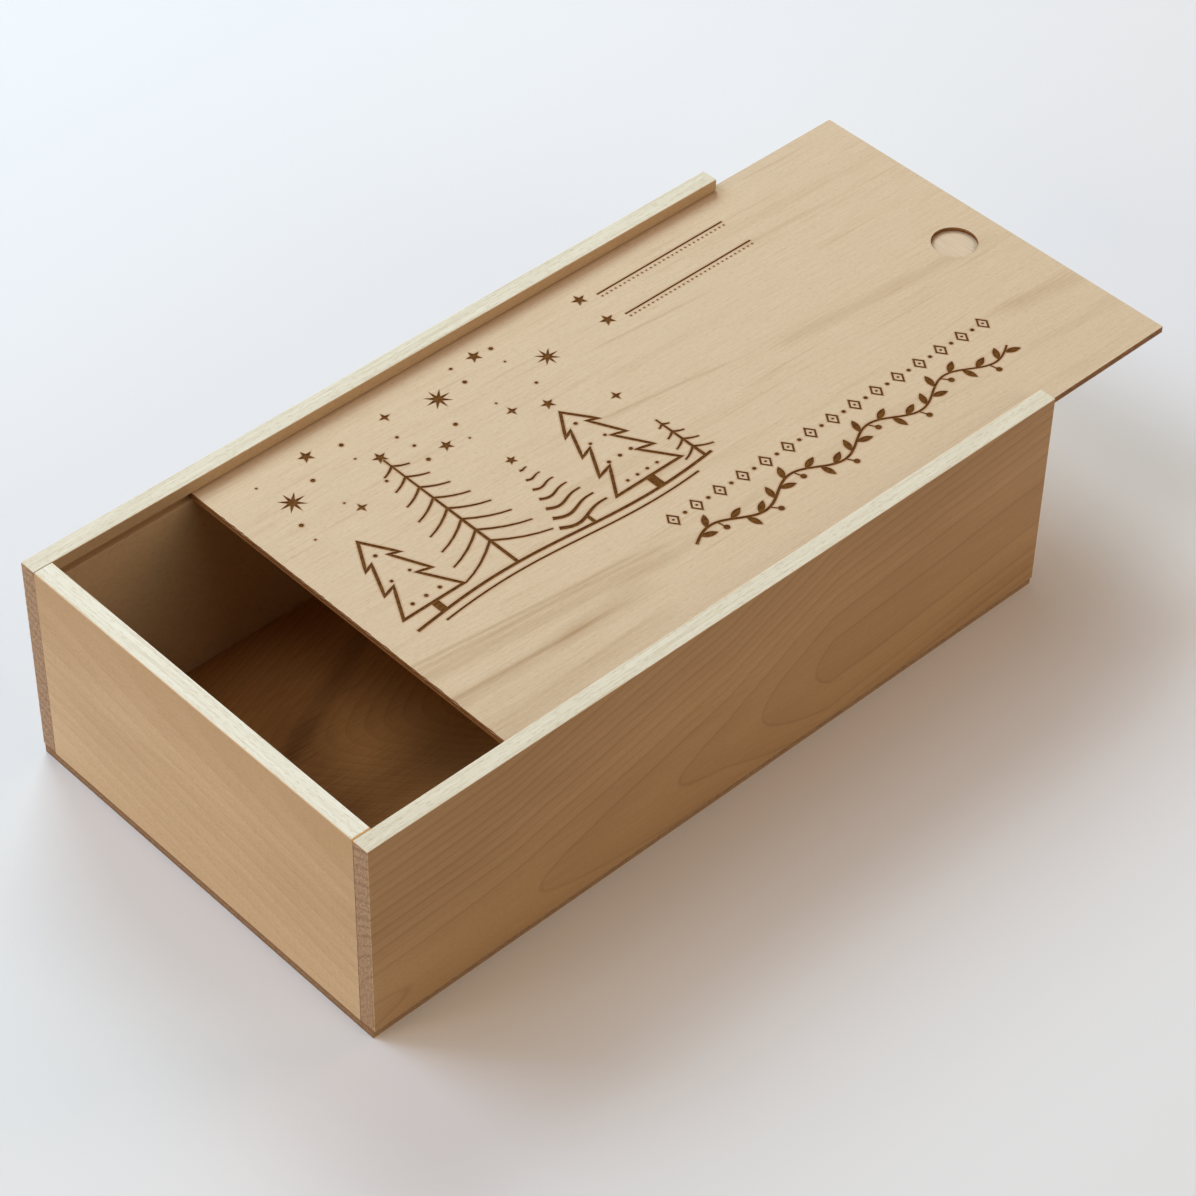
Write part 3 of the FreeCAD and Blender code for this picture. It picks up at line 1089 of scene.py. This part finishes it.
def underside(sheet, notch):
    """Triangles over the veneer's underside, by the order of the sheet's points and then the notch's."""
    outlines = [list(range(len(sheet))), list(range(len(sheet), len(sheet) + len(notch)))]
    flat = delaunay_2d_cdt(sheet + notch, [], outlines, ALL_TRIANGLES, MERGE_WITHIN, True)
    _, _, triangles, sources, _, owners = flat
    kept = [t for t, owner in zip(triangles, owners) if SHEET in owner and NOTCH not in owner]
    return [[sources[i][0] for i in t] for t in kept]


def finished_mesh(name, mesh):
    """An object from a bmesh, with its faces turned outward."""
    bmesh.ops.recalc_face_normals(mesh, faces=mesh.faces[:])
    data = bpy.data.meshes.new(name)
    mesh.to_mesh(data)
    mesh.free()
    obj = bpy.data.objects.new(name, data)
    bpy.context.scene.collection.objects.link(obj)
    return obj


def long_outer_edges():
    """A node group that marks a mesh's long, sharp, outward edges for a bevel."""
    group = bpy.data.node_groups.new("long_outer_edges", "GeometryNodeTree")
    for way in ("INPUT", "OUTPUT"):
        group.interface.new_socket("Geometry", in_out=way, socket_type="NodeSocketGeometry")
    tree = NodeTree(group)

    def over(value, least):
        return tree.add("ShaderNodeMath", {0: value, 1: least}, operation="GREATER_THAN").outputs[0]

    given = tree.add("NodeGroupInput", {}).outputs["Geometry"]
    angle = tree.add("GeometryNodeInputMeshEdgeAngle", {}).outputs["Signed Angle"]
    ends = tree.add("GeometryNodeInputMeshEdgeVertices", {}).outputs
    reach = {0: ends["Position 1"], 1: ends["Position 2"]}
    length = tree.add("ShaderNodeVectorMath", reach, operation="DISTANCE").outputs["Value"]
    sharp = over(angle, ARRIS_LEAST_ANGLE)
    long = over(length, ARRIS_LEAST_LENGTH * MM)
    both = tree.add("ShaderNodeMath", {0: sharp, 1: long}, operation="MULTIPLY").outputs[0]
    feeds = {"Geometry": given, "Name": "bevel_weight_edge", "Value": both}
    marked = tree.add("GeometryNodeStoreNamedAttribute", feeds, data_type="FLOAT", domain="EDGE")
    tree.add("NodeGroupOutput", {"Geometry": marked.outputs["Geometry"]})
    return group


def soften(obj, marker):
    """Rounds a board's arrises a little, by modifiers alone."""
    weld = obj.modifiers.new("join_faces", "WELD")
    weld.merge_threshold = WELD_WITHIN * MM
    plain = obj.modifiers.new("whole_faces", "DECIMATE")
    plain.decimate_type = "DISSOLVE"
    plain.angle_limit = FLAT_WITHIN
    obj.modifiers.new("mark_edges", "NODES").node_group = marker
    bevel = obj.modifiers.new("arris", "BEVEL")
    bevel.width = ARRIS * MM
    bevel.segments = ARRIS_STEPS
    bevel.limit_method = "WEIGHT"
    obj.modifiers.new("flat_faces", "WEIGHTED_NORMAL")


def dress(obj, material):
    obj.material_slots[0].material = material


def add_camera():
    """The camera of the photograph."""
    azimuth, elevation, roll = (math.radians(a) for a in (CAMERA_AZIMUTH, CAMERA_ELEVATION, CAMERA_ROLL))
    back = Vector(
        (
            math.sin(azimuth) * math.cos(elevation),
            -math.cos(azimuth) * math.cos(elevation),
            math.sin(elevation),
        )
    )
    level = Vector(UP).cross(back).normalized()
    upright = back.cross(level)
    right = level * math.cos(roll) + upright * math.sin(roll)
    up = upright * math.cos(roll) - level * math.sin(roll)
    data = bpy.data.cameras.new("camera")
    data.sensor_width = SENSOR_WIDTH
    data.lens = FOCAL_PIXELS * SENSOR_WIDTH / PHOTO_PIXELS
    camera = bpy.data.objects.new("camera", data)
    turn = Matrix((right, up, back)).transposed().to_4x4()
    camera.matrix_world = Matrix.Translation(CAMERA_TARGET + back * CAMERA_DISTANCE) @ turn
    bpy.context.scene.collection.objects.link(camera)
    bpy.context.scene.camera = camera


def add_light(name, place, power, colour):
    """A large soft light, turned to the box."""
    side = 1.2
    data = bpy.data.lights.new(name, "AREA")
    data.shape = "SQUARE"
    data.size = side
    data.energy = power
    data.color = colour
    light = bpy.data.objects.new(name, data)
    light.location = place
    light.rotation_euler = (LIGHTS_AIM - Vector(place)).to_track_quat("-Z", "Y").to_euler()
    light.visible_camera = False
    bpy.context.scene.collection.objects.link(light)


def add_studio():
    """A pale floor, large soft lights round the box, and a weak warm fill."""
    half = 4.0
    mesh = bmesh.new()
    mesh.faces.new([mesh.verts.new((x * half, y * half, 0)) for x, y in ((-1, -1), (1, -1), (1, 1), (-1, 1))])
    floor = finished_mesh("floor", mesh)
    floor.data.materials.append(pale_floor("floor_paper"))
    world = bpy.data.worlds.new("studio")
    world.use_nodes = True
    background = world.node_tree.nodes["Background"]
    background.inputs["Color"].default_value = FILL_COLOUR
    background.inputs["Strength"].default_value = FILL_STRENGTH
    scene = bpy.context.scene
    scene.world = world
    scene.view_settings.view_transform = "Standard"
    for name, (place, power, colour) in LIGHTS.items():
        add_light(name, place, power, colour)


def dress_box(nodes):
    """Wood for the boards and the plies of the box itself, and wire for its pins."""
    for name, board in BOARDS.items():
        dress(nodes[name], board_wood(name, board))
    marker = long_outer_edges()
    for name in SHARP_BOARDS:
        soften(nodes[name], marker)
    dress(nodes["bottom_outer_veneer"], veneer_wood("bottom_outer_wood", BOTTOM_TONES, shift=370.0))
    inner = veneer_wood("bottom_inner_wood", INNER_TONES, streaks=INNER_DARK_PATCHES, rings=INNER_RINGS)
    dress(nodes["bottom_inner_veneer"], inner)
    dress(nodes["bottom_core"], core_wood("bottom_core_wood", BOTTOM_CORE_TONES))
    dress(nodes["bottom_pins"], drawn_steel("pin_wire"))


def dress_lid(nodes):
    """Wood for the plies of the lid, with the burnt decoration in its face."""
    dress(nodes["lid_back_veneer"], veneer_wood("lid_back_wood", LID_TONES, shift=230.0))
    dress(nodes["lid_core"], core_wood("lid_core_wood", LID_CORE_TONES, notch_centre()))
    drawing = Drawing()
    winter_wood(drawing)
    blank_lines(drawing)
    garland(drawing)
    face = engraved_veneer(drawing)
    face.data.materials.append(veneer_wood("lid_face_wood", LID_TONES, streaks=LID_STREAKS, burnt=True))
    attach(face, "lid")
    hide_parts("lid_face_veneer")


def main():
    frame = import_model()
    nodes = frame["nodes"]
    dress_box(nodes)
    dress_lid(nodes)
    add_studio()
    add_camera()


main()
